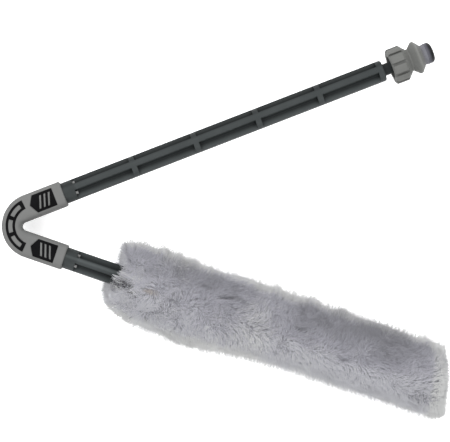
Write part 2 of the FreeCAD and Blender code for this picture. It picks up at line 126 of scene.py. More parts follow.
def noise_node(tree, scale, detail, rough):
    """A noise pattern in object space, so that it stays on the piece as it moves."""
    place = tree.nodes.new("ShaderNodeTexCoord")
    made = tree.nodes.new("ShaderNodeTexNoise")
    made.inputs["Scale"].default_value = scale
    made.inputs["Detail"].default_value = detail
    made.inputs["Roughness"].default_value = rough
    tree.links.new(place.outputs["Object"], made.inputs["Vector"])
    return made


def ramp_node(tree, source, stops):
    ramp = tree.nodes.new("ShaderNodeValToRGB")
    tree.links.new(source, ramp.inputs["Fac"])
    while len(ramp.color_ramp.elements) < len(stops):
        ramp.color_ramp.elements.new(0.5)
    for element, (at, colour) in zip(ramp.color_ramp.elements, stops):
        element.position = at
        element.color = (*colour, 1.0)
    return ramp


def bump(tree, shader, source, strength, distance):
    made = tree.nodes.new("ShaderNodeBump")
    made.inputs["Strength"].default_value = strength
    made.inputs["Distance"].default_value = distance
    tree.links.new(source, made.inputs["Height"])
    tree.links.new(made.outputs["Normal"], shader.inputs["Normal"])


def from_place(tree, place):
    """The point being shaded, measured from a place's origin."""
    where = tree.nodes.new("ShaderNodeTexCoord")
    offset = tree.nodes.new("ShaderNodeVectorMath")
    offset.operation = "SUBTRACT"
    offset.inputs[1].default_value = place.origin
    tree.links.new(where.outputs["Object"], offset.inputs[0])
    return offset.outputs["Vector"]


def vector_maths(tree, operation, first, second=None):
    made = tree.nodes.new("ShaderNodeVectorMath")
    made.operation = operation
    tree.links.new(first, made.inputs[0])
    if second is not None:
        made.inputs[1].default_value = second
    return made


def from_axis(tree, place):
    """Distance from an arm's axis."""
    sideways = vector_maths(tree, "CROSS_PRODUCT", from_place(tree, place), place.x)
    return vector_maths(tree, "LENGTH", sideways.outputs["Vector"]).outputs["Value"]


def along_axis(tree, place):
    """Distance along an arm."""
    return vector_maths(tree, "DOT_PRODUCT", from_place(tree, place), place.x).outputs["Value"]


def across_axis(tree, place):
    """Distance from an arm's axis to the side away from the other arm."""
    return vector_maths(tree, "DOT_PRODUCT", from_place(tree, place), place.y).outputs["Value"]


def even(level):
    """A colour with the same red, green and blue."""
    return (level, level, level)


def graded(tree, distance, limits, stops, kind="SMOOTHSTEP"):
    """A colour that changes with a distance, between two limits in millimetres."""
    start, end = limits
    share = tree.nodes.new("ShaderNodeMapRange")
    share.interpolation_type = kind
    share.inputs["From Min"].default_value = start * MM
    share.inputs["From Max"].default_value = end * MM
    tree.links.new(distance, share.inputs["Value"])
    return ramp_node(tree, share.outputs["Result"], stops).outputs["Color"]


def multiplied(tree, first, second):
    mix = tree.nodes.new("ShaderNodeMix")
    mix.data_type = "RGBA"
    mix.blend_type = "MULTIPLY"
    mix.inputs["Factor"].default_value = 1.0
    tree.links.new(first, mix.inputs["A"])
    tree.links.new(second, mix.inputs["B"])
    return mix.outputs["Result"]


def moulded(name, dark, light, rough, grain, grain_depth, gloss=0.25, shade=None):
    """Moulded plastic or rubber: slow colour patches, fine surface grain and uneven gloss. shade makes
    a second colour, from the tree, that the first is multiplied by."""
    patch_scale, spread = 90.0, 0.08
    material, tree, shader = new_material(name)
    patches = noise_node(tree, patch_scale, 5.0, 0.6)
    colour = ramp_node(tree, patches.outputs["Fac"], [(0.3, dark), (0.72, light)]).outputs["Color"]
    if shade:
        colour = multiplied(tree, colour, shade(tree))
    tree.links.new(colour, shader.inputs["Base Color"])
    fine = noise_node(tree, grain, 3.0, 0.5)
    gloss_range = tree.nodes.new("ShaderNodeMapRange")
    gloss_range.inputs["To Min"].default_value = rough - spread
    gloss_range.inputs["To Max"].default_value = rough + spread
    tree.links.new(fine.outputs["Fac"], gloss_range.inputs["Value"])
    tree.links.new(gloss_range.outputs["Result"], shader.inputs["Roughness"])
    shader.inputs["Specular IOR Level"].default_value = gloss
    bump(tree, shader, fine.outputs["Fac"], 0.55, grain_depth)
    return material


def arm_plastic(name, place, painted_light_levels):
    """Dark plastic with painted shade down in the pockets between the ribs and on the first block by the sleeve.
    painted_light_levels gives the painted shade and painted highlight across the arm, as pairs of millimetres from
    the axis and a factor."""

    def pockets(tree):
        # Painted shade in the pockets, darkest nearest the axis.
        stops = [(0.0, (0.30, 0.31, 0.32)), (0.55, (0.62, 0.63, 0.63)), (1.0, even(1.0))]
        deep = graded(tree, from_axis(tree, place), POCKET_SHADE_DEPTHS, stops)
        # Painted shade and painted highlight across the arm.
        low, high = painted_light_levels[0][0], painted_light_levels[-1][0]
        stops = [((at - low) / (high - low), even(level)) for at, level in painted_light_levels]
        rows = graded(tree, across_axis(tree, place), (low, high), stops, "LINEAR")
        # Painted shade on the first block by the sleeve.
        stops = [(0.0, even(0.8)), (1.0, even(1.0))]
        block = graded(tree, along_axis(tree, place), FIRST_BLOCK_SHADE_END, stops)
        return multiplied(tree, multiplied(tree, deep, rows), block)

    dark, light = (0.0245, 0.0277, 0.0282), (0.0300, 0.0338, 0.0343)
    return moulded(name, dark, light, 0.5, 2600.0, 0.06 * MM, gloss=0.05, shade=pockets)


def head_rubber(name, place):
    """Grey rubber with a painted highlight just past the wiping rim's crest and a cooler, lighter nose."""
    crest = (Vector(mounts["squeegee_rim"]["pos_m"]) - place.origin).dot(place.x) / MM
    highlight_limits = [crest + at for at in RIDGE_HIGHLIGHT]

    def nose(tree):
        along = along_axis(tree, place)
        stops = [(0.0, (0.99, 1.0, 0.975)), (0.5, (1.0, 1.0, 1.02)), (1.0, (1.12, 1.12, 1.28))]
        tip = graded(tree, along, HEAD_NOSE, stops)
        # Painted highlight: a lighter line just past the wiping rim's crest.
        stops = [(0.0, even(1.0)), (0.4, even(1.3)), (0.6, even(1.3)), (1.0, even(1.0))]
        return multiplied(tree, tip, graded(tree, along, highlight_limits, stops, "LINEAR"))

    dark, light = (0.078, 0.0785, 0.077), (0.093, 0.0935, 0.092)
    return moulded(name, dark, light, 0.6, 3200.0, 0.05 * MM, gloss=0.08, shade=nose)


def cap_plastic(name, place):
    """Dark cap, with painted shade that makes it blackest round its rounded end."""

    def end(tree):
        # Painted shade round the cap's rounded end.
        stops = [(0.0, even(1.0)), (0.5, (0.62, 0.62, 0.64)), (1.0, (0.12, 0.12, 0.11))]
        return graded(tree, along_axis(tree, place), CAP_END_SHADE, stops)

    dark, light = (0.050, 0.050, 0.059), (0.066, 0.066, 0.077)
    return moulded(name, dark, light, 0.45, 2600.0, 0.05 * MM, gloss=0.08, shade=end)


def knit(name, dark, light):
    """A knitted backing: rows of small loops."""
    material, tree, shader = new_material(name)
    place = tree.nodes.new("ShaderNodeTexCoord")
    rows = tree.nodes.new("ShaderNodeTexWave")
    rows.inputs["Scale"].default_value = 420.0
    rows.inputs["Distortion"].default_value = 2.5
    tree.links.new(place.outputs["Object"], rows.inputs["Vector"])
    colour = ramp_node(tree, rows.outputs["Fac"], [(0.2, dark), (0.8, light)]).outputs["Color"]
    tree.links.new(colour, shader.inputs["Base Color"])
    shader.inputs["Roughness"].default_value = 0.9
    bump(tree, shader, rows.outputs["Fac"], 0.8, 0.4 * MM)
    return material


def fibre(name, colour):
    """One tint of wool fibre. The pile's variation comes from its many tints and from the strands' shape."""
    material, _, shader = new_material(name)
    shader.inputs["Base Color"].default_value = (*colour, 1.0)
    shader.inputs["Roughness"].default_value = 0.75
    shader.inputs["Specular IOR Level"].default_value = 0.25
    shader.inputs["Sheen Weight"].default_value = 0.35
    shader.inputs["Sheen Roughness"].default_value = 0.45
    return material


def underfur(name, dark, light):
    """The dense wool below the fibre tips, with painted shade in its hollows: one noise makes both the bumps and
    the darker colour.
    """
    material, tree, shader = new_material(name)
    tufts = noise_node(tree, 260.0, 6.0, 0.7)
    # Painted shade: the low places of the noise that drives the bump are darker.
    colour = ramp_node(tree, tufts.outputs["Fac"], [(0.32, dark), (0.68, light)])
    tree.links.new(colour.outputs["Color"], shader.inputs["Base Color"])
    shader.inputs["Roughness"].default_value = 0.95
    shader.inputs["Specular IOR Level"].default_value = 0.1
    bump(tree, shader, tufts.outputs["Fac"], 1.0, 1.2 * MM)
    return material


def make_materials():
    squeegee, swab = places["squeegee"], places["swab"]
    # Painted shade and painted highlight across each arm, as millimetres from its axis and a factor.
    squeegee_painted_light = [(-5.6, 1.15), (-2.9, 1.15), (-1.2, 1.0), (1.6, 1.0), (3.4, 0.68), (5.6, 0.84)]
    swab_painted_light = [(-5.6, 1.0), (-2.0, 1.0), (-1.4, 1.5), (-0.8, 1.5)]
    swab_painted_light += [(0.1, 1.0), (1.4, 1.0), (2.6, 1.2), (5.6, 1.25)]
    rubber_colours = (0.086, 0.087, 0.086), (0.100, 0.1005, 0.099)
    inlay_colours = (0.0020, 0.0020, 0.0022), (0.0045, 0.0045, 0.0050)
    return {
        "squeegee_arm": arm_plastic("arm_plastic_squeegee_side", squeegee, squeegee_painted_light),
        "swab_arm": arm_plastic("arm_plastic_swab_side", swab, swab_painted_light),
        "rubber": moulded("hinge_rubber", *rubber_colours, 0.66, 3800.0, 0.05 * MM, gloss=0.08),
        "head": head_rubber("head_rubber", squeegee),
        "plug": moulded("plug_rubber", even(0.122), even(0.161), 0.6, 3800.0, 0.05 * MM),
        "inlay": moulded("inlay_black", *inlay_colours, 0.4, 3000.0, 0.03 * MM, gloss=0.02),
        "cap": cap_plastic("cap_plastic", squeegee),
        "knit": knit("backing_knit", (0.30, 0.235, 0.20), (0.40, 0.335, 0.295)),
        "thread": knit("thread_cotton", even(0.30), even(0.42)),
        "underfur": underfur("fleece_underfur", (0.160, 0.160, 0.176), (0.215, 0.215, 0.235)),
    }


materials = make_materials()


def paint(obj, material):
    obj.data.materials.clear()
    obj.data.materials.append(material)


def dress_cad_nodes():
    """Finishes for the CAD pieces, each with the width in millimetres of its soft edges."""
    looks = {
        "squeegee_arm": ("squeegee_arm", 0.22),
        "swab_arm": ("swab_arm", 0.22),
        "squeegee_lock_plugs": ("plug", 0.2),
        "swab_lock_plugs": ("plug", 0.2),
        "squeegee_head": ("head", 0.5),
        "tip_cap": ("cap", 0.25),
        "seam_thread": ("thread", 0.0),
    }
    for part in ("squeegee", "swab", "bend"):
        for face in ("front", "back"):
            looks[f"{part}_inlay_{face}"] = ("inlay", 0.12)
    for name, (look, edge) in looks.items():
        obj = nodes[name]
        paint(obj, materials[look])
        if edge:
            bevel = obj.modifiers.new("soft_edges", "BEVEL")
            bevel.width = edge * MM
            bevel.segments = 2
            bevel.limit_method = "ANGLE"
            bevel.angle_limit = math.radians(38)
            bevel.harden_normals = False


dress_cad_nodes()


# ---------------------------------------------------------------- mesh helpers


def new_object(name, mesh):
    obj = bpy.data.objects.new(name, mesh)
    scene.collection.objects.link(obj)
    return obj


def mesh_of(name, points, faces):
    mesh = bpy.data.meshes.new(name)
    mesh.from_pydata([tuple(p) for p in points], [], faces)
    mesh.validate()
    mesh.shade_smooth()
    return mesh


def closed_skin(rings, sides):
    """Faces of a closed skin over rings of points, numbered one ring after the other."""
    faces = []
    for i in range(rings - 1):
        for k in range(sides):
            a, b = i * sides + k, i * sides + (k + 1) % sides
            faces.append((a, b, b + sides, a + sides))
    last = (rings - 1) * sides
    return faces + [tuple(range(last, last + sides)), tuple(range(sides))]


def face_outwards(mesh):
    work = bmesh.new()
    work.from_mesh(mesh)
    bmesh.ops.recalc_face_normals(work, faces=work.faces)
    work.to_mesh(mesh)
    work.free()


# ---------------------------------------------------------------- rubber hinge

SAME_POINT = 0.001 * MM


def hinge_contours():
    """The hinge's inner and outer side for the half towards the squeegee arm, from the middle of the
    bend to the sleeve's mouth, as pairs of points in the plane of the arms."""
    bend, arm = places["bend"], places["squeegee"]
    sine = abs(bend.x.cross(arm.x).length)
    cosine = bend.x.dot(arm.x)
    gap = (arm.origin - bend.origin).length
    start, end = arm.span("squeegee_leg", "x")
    wide = arm.span("squeegee_leg", "y")[1]
    outermost = bend.span("hinge_bend", "x")[0]
    along, away = np.array([cosine, sine]), np.array([-sine, cosine])
    pivot = np.array([0.0, gap])
    arc_x = (gap * cosine + wide + outermost) / (1 - sine)
    arc = arc_x - outermost
    crease_round, crease_share = 2.24 * MM, 0.3
    crease_x = (wide - gap * cosine) / sine + crease_round / sine
    bend_steps, straight_steps = 18, 22
    outer, inner = [], []
    last_outer = math.pi / 2 + math.asin(sine)
    inner_corner = pivot + along * start - away * wide
    outer_corner = pivot + along * start + away * wide
    touch = np.array([crease_x, 0.0]) + crease_round * np.array([-sine, cosine])
    for i in range(bend_steps):
        share = i / bend_steps
        angle = math.pi + (last_outer - math.pi) * share
        outer.append(np.array([arc_x + arc * math.cos(angle), arc * math.sin(angle)]))
        turn = math.pi + (last_outer - math.pi) * min(1.0, share / crease_share)
        point = np.array([crease_x, 0.0]) + crease_round * np.array([math.cos(turn), math.sin(turn)])
        if share > crease_share:
            point = touch + (inner_corner - touch) * (share - crease_share) / (1 - crease_share)
        inner.append(point)
    outer.append(outer_corner)
    inner.append(inner_corner)
    for i in range(1, straight_steps + 1):
        reach = along * (end - start) * i / straight_steps
        outer.append(outer_corner + reach)
        inner.append(inner_corner + reach)
    return inner, outer


def ring(inner, outer, half_deep, corner, shrink):
    """One rounded cross-section of the hinge, shrunk by a small amount at the sleeve's mouth."""
    across = outer - inner
    wide = np.linalg.norm(across)
    across = across / wide
    half_wide, half_deep = wide / 2 - shrink, half_deep - shrink
    corner = min(corner, half_wide * 0.8)
    middle = (inner + outer) / 2
    points = []
    steps = 6
    for quarter, (side_w, side_d) in enumerate(((1, 1), (-1, 1), (-1, -1), (1, -1))):
        for i in range(steps + 1):
            angle = math.pi / 2 * (quarter + i / steps)
            w = side_w * (half_wide - corner) + corner * math.cos(angle)
            d = side_d * (half_deep - corner) + corner * math.sin(angle)
            flat = middle + across * w
            points.append((flat[0], flat[1], d))
    return points


def split_long_sides(points, parts=5):
    """Adds points along the flat sides of a ring, so that the faces stay small where it bends."""
    count = len(points)
    per_corner = count // 4
    out = []
    for i, p in enumerate(points):
        out.append(p)
        if (i + 1) % per_corner == 0:
            q = points[(i + 1) % count]
            for k in range(1, parts):
                share = k / parts
                out.append(tuple(a + (b - a) * share for a, b in zip(p, q)))
    return out


def inlay_cutter(name, node, place):
    """A solid that is a little larger than an inlay, to sink its bed into the rubber."""
    side_gap, overshoot, face_height = 0.12 * MM, 0.4 * MM, 6.2 * MM
    copy = nodes[node].data.copy()
    cutter = new_object(name, copy)
    work = bmesh.new()
    work.from_mesh(copy)
    bmesh.ops.remove_doubles(work, verts=work.verts, dist=SAME_POINT)
    work.normal_update()
    for vert in work.verts:
        sides = [f.normal for f in vert.link_faces if abs(f.normal.dot(place.z)) < 0.5]
        push = Vector((0, 0, 0))
        for side in sides:
            if side.dot(push.normalized()) < 0.99:
                push += side
        height = (vert.co - place.origin).dot(place.z)
        vert.co += push * side_gap
        if abs(height) > face_height:
            vert.co += place.z * math.copysign(overshoot, height)
    work.to_mesh(copy)
    work.free()
    return cutter


def hinge_rings(mirrored):
    """Cross-sections from the middle of the bend to the sleeve's rounded mouth, and over its end face."""
    inner, outer = hinge_contours()
    flip = (1, -1 if mirrored else 1)
    half_deep = places["bend"].span("hinge_bend", "z")[1]
    corner, mouth_round, mouth_steps = 3.0 * MM, 0.9 * MM, 5
    rings = []
    for a, b in zip(inner[:-1], outer[:-1]):
        rings.append(split_long_sides(ring(a * flip, b * flip, half_deep, corner, 0.0)))
    end_a, end_b = inner[-1] * flip, outer[-1] * flip
    out = (inner[-1] - inner[-2]) * flip
    out = out / np.linalg.norm(out)
    for i in range(mouth_steps + 1):
        angle = math.pi / 2 * i / mouth_steps
        back = out * mouth_round * (1 - math.sin(angle))
        inset = mouth_round * (1 - math.cos(angle))
        rings.append(split_long_sides(ring(end_a - back, end_b - back, half_deep, corner, inset)))
    for inset in (2.4 * MM, 4.5 * MM):
        rings.append(split_long_sides(ring(end_a, end_b, half_deep, corner, inset)))
    return rings


def cut_beds(obj, inlays):
    """Sinks the beds of the inlays into one half of the hinge."""
    cutters = []
    for node, place in inlays:
        cutter = inlay_cutter(f"{obj.name}_{node}_cutter", node, place)
        cut = obj.modifiers.new(node, "BOOLEAN")
        cut.operation = "DIFFERENCE"
        cut.solver = "EXACT"
        cut.object = cutter
        cutter.hide_render = True
        cutters.append(cutter)
    bpy.context.view_layer.update()
    graph = bpy.context.evaluated_depsgraph_get()
    cut_mesh = bpy.data.meshes.new_from_object(obj.evaluated_get(graph))
    obj.modifiers.clear()
    obj.data = cut_mesh
    for cutter in cutters:
        bpy.data.objects.remove(cutter)


def hinge_half(name, mirrored, inlays):
    """One half of the rubber: a skin that is open only where it meets the other half."""
    rings = hinge_rings(mirrored)
    points = [p for r in rings for p in r]
    faces = closed_skin(len(rings), len(rings[0]))
    mesh = mesh_of(name, places["bend"].row(points), faces)
    face_outwards(mesh)
    obj = new_object(name, mesh)
    cut_beds(obj, inlays)
    remove_middle_wall(obj.data)
    obj.data.shade_smooth()
    obj.data.set_sharp_from_angle(angle=math.radians(32))
    paint(obj, materials["rubber"])
    return obj


def remove_middle_wall(mesh):
    """Takes out the wall at the middle of the bend, where the two halves meet."""
    work = bmesh.new()
    work.from_mesh(mesh)
    place = places["bend"]
    wall = [
        f for f in work.faces
        if all(abs((v.co - place.origin).dot(place.y)) < 2 * SAME_POINT for v in f.verts)
    ]
    bmesh.ops.delete(work, geom=wall, context="FACES_ONLY")
    work.to_mesh(mesh)
    work.free()


def half_inlay(name, node, side):
    """The half of a bend inlay on one side of the bend's middle, with faces small enough to bend."""
    place = places["bend"]
    longest_edge, rounds = 1.2 * MM, 3
    graph = bpy.context.evaluated_depsgraph_get()
    mesh = bpy.data.meshes.new_from_object(nodes[node].evaluated_get(graph))
    work = bmesh.new()
    work.from_mesh(mesh)
    bmesh.ops.remove_doubles(work, verts=work.verts, dist=SAME_POINT)
    everything = list(work.verts) + list(work.edges) + list(work.faces)
    plane = {"plane_co": place.origin, "plane_no": side}
    cut = bmesh.ops.bisect_plane(work, geom=everything, clear_inner=True, **plane)
    rim = [e for e in cut["geom_cut"] if isinstance(e, bmesh.types.BMEdge)]
    bmesh.ops.holes_fill(work, edges=rim)
    for _ in range(rounds):
        long_edges = [e for e in work.edges if e.calc_length() > longest_edge]
        bmesh.ops.subdivide_edges(work, edges=long_edges, cuts=1)
    bmesh.ops.triangulate(work, faces=[f for f in work.faces if len(f.verts) > 4])
    work.to_mesh(mesh)
    work.free()
    mesh.name = name
    obj = new_object(name, mesh)
    paint(obj, materials["inlay"])
    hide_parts(node)
    return obj


def make_hinge():
    """Both halves of the rubber and of its two crescents, each running from the middle of the bend to its arm."""
    bend = places["bend"]
    crescents = ("bend_inlay_front", "bend_inlay_back")
    halves = {}
    for arm in ("squeegee", "swab"):
        inlays = [(node, bend) for node in crescents]
        inlays += [(f"{arm}_inlay_{face}", places[arm]) for face in ("front", "back")]
        halves[arm] = hinge_half(f"rubber_hinge_{arm}_half", arm == "swab", inlays)
    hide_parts("squeegee_leg", "hinge_bend")
    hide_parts("swab_leg")
    for arm, rubber in halves.items():
        place, body = places[arm], f"{arm}_side"
        side = (place.origin - bend.origin).normalized()
        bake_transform(rubber)
        for node in crescents:
            crescent = half_inlay(f"{node}_{body}_half", node, side)
            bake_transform(crescent)


make_hinge()


# ---------------------------------------------------------------- fleece


def smooth_step(x, low, high):
    t = np.clip((x - low) / (high - low), 0, 1)
    return t * t * (3 - 2 * t)


def bell(x, middle, wide):
    """1 at the middle, falling smoothly to nothing on both sides of it."""
    return np.exp(-(((x - middle) / wide) ** 2))


def turned_noise(points, scale, seed):
    """Smooth noise between about -1 and 1 at each point."""
    offset = Vector((seed * 3.7, seed * 1.3, -seed * 2.1))
    return np.array([noise.noise(Vector(p) * scale + offset) for p in points])


def noise_vectors(points, scale, seed):
    """A smoothly turning direction at each point."""
    return np.stack([turned_noise(points, scale, seed + k) for k in range(3)], axis=1)


def unit(vectors):
    return vectors / np.maximum(np.linalg.norm(vectors, axis=1), 1e-12)[:, None]


# Where single tufts stand off the side towards the other arm: millimetres along the swab arm.
TUFTS = [77.5, 86.0, 94.0, 141.0, 161.0, 177.0, 224.0]

# Small partings, in millimetres: along the swab arm, across it towards the other arm, and half length.
PARTINGS = [
    (104.0, 9.5, 3.4),
    (116.0, 8.0, 4.0),
    (123.0, 9.0, 3.0),
    (90.5, -4.0, 2.6),
    (158.0, 4.5, 2.4),
    (171.0, 12.0, 2.2),
    (150.0, -10.5, 2.0),
    (184.0, -3.0, 2.6),
    (203.0, 8.0, 2.4),
    (214.0, -6.5, 2.8),
]

# A thin spot as tan as the backing: along and across like a parting, then half length and half width.
BARE_SPOT = (78.6, -2.2, 5.4, 1.9)


class Fleece:
    """The outer shape of the pile, in the pile's own frame: s along the swab arm, and an angle round it
    that starts at the side away from the other arm and turns upwards."""

    def __init__(self):
        place = places["pile"]
        self.mouth, self.end = place.span("fleece_pile", "x")
        self.half_wide = place.span("fleece_pile", "y")[1]
        low, high = place.span("fleece_pile", "z")
        self.below, self.above = -low, high

    def section(self, angle, s):
        """Distance from the arm's axis to the pile's surface. The side away from the other arm is fuller
        near the mouth and slimmer towards the far end."""
        fuller = 1 - smooth_step(s, 110 * MM, 168 * MM)
        belly = bell(s, 100 * MM, 14 * MM)
        far_side = self.half_wide * (0.845 + 0.185 * fuller + 0.10 * belly)
        near_side = np.full_like(s, self.half_wide * 0.96)
        cosine, sine = np.cos(angle), np.sin(angle)
        wide = np.where(cosine > 0, far_side, near_side)
        high = np.where(sine > 0, self.above, self.below)
        power = np.where(sine > 0, 2.25, 2.9)
        return ((np.abs(cosine) / wide) ** power + (np.abs(sine) / high) ** power) ** (-1 / power)

    def outline(self, along, away):
        """The lengthwise outline, as distance along the arm and share of the section's radius, with how
        far each point is over the mouth's flat face. away is 1 on the side away from the other arm."""
        lip = (9.0 + 11.0 * away) * MM
        corner = (3.6 + 4.0 * away) * MM
        length = self.end - self.mouth + 1.0 * MM
        near_arc, far_arc = 19.0 * MM, 24.0 * MM
        straight = length - 24.0 * MM
        walk = along * (near_arc + straight + far_arc)
        near = np.clip(walk / near_arc, 0, 1)
        middle = np.clip((walk - near_arc) / straight, 0, 1)
        far = np.clip((walk - (near_arc + straight)) / far_arc, 0, 1)
        flat_part, round_part = 0.35, 0.5
        on_flat = np.clip(near / flat_part, 0, 1)
        rise = np.clip((near - flat_part) / (1 - flat_part), 0, 1) * math.pi / 2
        turn = np.clip(far / round_part, 0, 1) * math.pi / 2
        s = self.mouth + lip * (1 - np.cos(rise)) + middle * (length - lip - corner) + corner * np.sin(turn)
        flat = 0.46 - 0.34 * away
        radius = 0.30 + flat * on_flat + (0.70 - flat) * np.sin(rise)
        cut = 0.05 + 0.28 * away
        closing = np.clip((far - round_part) / (1 - round_part), 0, 1)
        radius = radius * (1 - cut * (1 - np.cos(turn)) - (1 - cut) * closing)
        return s, radius, on_flat

    def push(self, s, side, angle, on_flat):
        """How far the pile is pushed along the arm: both ends slant, and the mouth is drawn back behind
        the arm and notched on top."""
        skew_near = -0.075 * side * (1 - smooth_step(s, self.mouth, self.mouth + 30 * MM))
        skew_far = 0.325 * side * smooth_step(s, self.end - 70 * MM, self.end)
        dip = 2.5 * MM * (1 - on_flat) ** 0.7
        behind = 0.1 * smooth_step(-side, 4 * MM, 12 * MM) + 1.2 * bell(side, -7.5 * MM, 3.5 * MM)
        behind = behind * MM * (1 - smooth_step(s, self.mouth, self.mouth + 24 * MM))
        on_top = bell(np.mod(angle, 2 * math.pi), math.radians(85), math.radians(50))
        notch = 8.0 * MM * on_top * (1 - smooth_step(s, self.mouth, self.mouth + 26 * MM))
        return skew_near + skew_far + dip + behind + notch

    def point(self, along, angle):
        """along runs from 0 at the arm's surface by the mouth, over the mouth's lip, down the length and
        round the far end to 1 on the axis."""
        s, radius, on_flat = self.outline(along, (1 + np.cos(angle)) / 2)
        reach = self.section(angle, s) * radius
        side, up = np.cos(angle) * reach, np.sin(angle) * reach
        return np.stack([s + self.push(s, side, angle, on_flat), side, up], axis=1)

    def with_normal(self, along, angle):
        """Points on the shape, their outward normals, and the direction along the length there."""
        step, turn = 0.0015, 0.02
        base = self.point(along, angle)
        before = self.point(np.clip(along - step, 0, 1), angle)
        after = self.point(np.clip(along + step, 0, 1), angle)
        lengthwise = after - before
        round_it = self.point(along, angle + turn) - self.point(along, angle - turn)
        normal = unit(np.cross(round_it, lengthwise))
        outward = base * (0, 1, 1)
        outward[:, 0] = np.where(along < 0.08, -20 * MM, np.where(along > 0.93, 20 * MM, 0))
        normal[(normal * outward).sum(1) < 0] *= -1
        return base, normal, unit(lengthwise)


fleece = Fleece()


def tuft_height(base):
    """Extra height of the single tufts on the side towards the other arm."""
    height = np.zeros(len(base))
    on_side = smooth_step(-base[:, 1], 12 * MM, 18 * MM)
    for k, s in enumerate(TUFTS):
        near = bell(base[:, 0], s * MM, 2.6 * MM)
        height += near * on_side * (1.9 - 0.25 * (k % 3)) * MM
    return height


def parting_depth(base, normal):
    """How strongly the pile parts at each point, 0 to 1."""
    on_top = smooth_step(normal[:, 2], 0.1, 0.5)
    deep = np.zeros(len(base))
    for k, (s, across, half) in enumerate(PARTINGS):
        turn = 0.35 * math.sin(k * 2.1)
        x, y = base[:, 0] - s * MM, -base[:, 1] - across * MM
        u = (x * math.cos(turn) + y * math.sin(turn)) / (half * MM)
        v = (y * math.cos(turn) - x * math.sin(turn)) / (0.75 * MM)
        deep = np.maximum(deep, np.exp(-(u**2) - v**2))
    return deep * on_top


def bare_share(base, normal):
    """How much each point belongs to the thin tan spot, 0 to 1."""
    s, across, half_long, half_wide = BARE_SPOT
    u = (base[:, 0] - s * MM) / (half_long * MM)
    v = (-base[:, 1] - across * MM) / (half_wide * MM)
    return np.exp(-(u**2) - v**2) * smooth_step(normal[:, 2], 0.2, 0.6)


def surface_height(base):
    """Soft unevenness of the pile."""
    lumps = turned_noise(base, 42.0, 1) * 0.9 + turned_noise(base, 135.0, 2) * 0.85
    return lumps * MM + tuft_height(base)


def make_underfur():
    """The dense body of the pile below the fibre tips: one closed skin with soft lumps."""
    rings, sides = 150, 96
    depth, clear_of_floor = 1.95 * MM, 0.5 * MM
    along = np.linspace(0, 1, rings)
    angle = np.linspace(0, 2 * math.pi, sides, endpoint=False)
    a, b = np.meshgrid(along, angle, indexing="ij")
    base, normal, _ = fleece.with_normal(a.ravel(), b.ravel())
    deep = depth - surface_height(base) + parting_depth(base, normal) * 0.8 * MM
    deep = deep + bare_share(base, normal) * 0.5 * MM
    points = base - normal * deep[:, None]
    points[:, 2] = np.maximum(points[:, 2], -fleece.below + clear_of_floor)
    mesh = mesh_of("fleece_underfur", places["pile"].row(points), closed_skin(rings, sides))
    face_outwards(mesh)
    obj = new_object("fleece_underfur", mesh)
    paint(obj, materials["underfur"])
    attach(obj, "swab_side")
    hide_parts("fleece_pile")


def make_backing():
    """The knitted tube inside the pile. Its hem is turned in, so that it starts behind the mouth."""
    place = places["pile"]
    outer = place.span("fleece_backing", "z")[1]
    wall = 1.2 * MM
    hem, end = 64.0 * MM, place.span("fleece_backing", "x")[1]
    profile = [(hem, outer - wall), (hem, outer), (end, outer), (end, outer - wall)]
    sides = 48
    points, faces = [], []
    for s, radius in profile:
        for k in range(sides):
            angle = 2 * math.pi * k / sides
            points.append((s, radius * math.cos(angle), radius * math.sin(angle)))
    for i in range(4):
        for k in range(sides):
            a, b = i * sides + k, i * sides + (k + 1) % sides
            step = sides if i < 3 else -3 * sides
            faces.append((a, b, b + step, a + step))
    mesh = mesh_of("fleece_backing_tube", place.row(points), faces)
    face_outwards(mesh)
    mesh.set_sharp_from_angle(angle=math.radians(40))
    obj = new_object("fleece_backing_tube", mesh)
    paint(obj, materials["knit"])
    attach(obj, "swab_side")
    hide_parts("fleece_backing")


RINGS = 2
STRAND_POINTS = RINGS * 3 + 1


def strand_mesh(name, roots, bends, tips, widths, normals, random):
    """Closed three-sided fibres that taper to a point, as one mesh. Their shading leans towards the
    pile's own surface, as a dense pile looks soft and not wiry."""
    count = len(roots)
    axis = unit(tips - roots)
    side = unit(np.cross(axis, random.normal(size=(count, 3))))
    other = np.cross(axis, side)
    points = np.zeros((count, STRAND_POINTS, 3))
    shade = np.zeros((count, STRAND_POINTS, 3))
    for r, (centre, thick) in enumerate(((roots, 1.0), (bends, 0.85))):
        for k in range(3):
            turn = 2 * math.pi * k / 3
            spoke = side * math.cos(turn) + other * math.sin(turn)
            points[:, r * 3 + k] = centre + spoke * (widths * thick)[:, None]
            shade[:, r * 3 + k] = spoke * 0.3 + normals
    points[:, -1] = tips
    shade[:, -1] = normals + axis * 0.2
    pattern = [(0, 2, 1)]
    for k in range(3):
        a, b = k, (k + 1) % 3
        pattern += [(a, b, b + 3), (a, b + 3, a + 3)]
    pattern += [(3, 4, 6), (4, 5, 6), (5, 3, 6)]
    pattern = np.array(pattern)
    faces = (np.arange(count)[:, None, None] * STRAND_POINTS + pattern[None]).reshape(-1, 3)
    mesh = bpy.data.meshes.new(name)
    mesh.vertices.add(count * STRAND_POINTS)
    mesh.vertices.foreach_set("co", points.reshape(-1).astype(np.float32))
    mesh.loops.add(faces.size)
    mesh.loops.foreach_set("vertex_index", faces.reshape(-1).astype(np.int32))
    mesh.polygons.add(len(faces))
    mesh.polygons.foreach_set("loop_start", np.arange(0, faces.size, 3, dtype=np.int32))
    mesh.update(calc_edges=True)
    mesh.shade_smooth()
    mesh.normals_split_custom_set_from_vertices(unit(shade.reshape(-1, 3)))
    return mesh


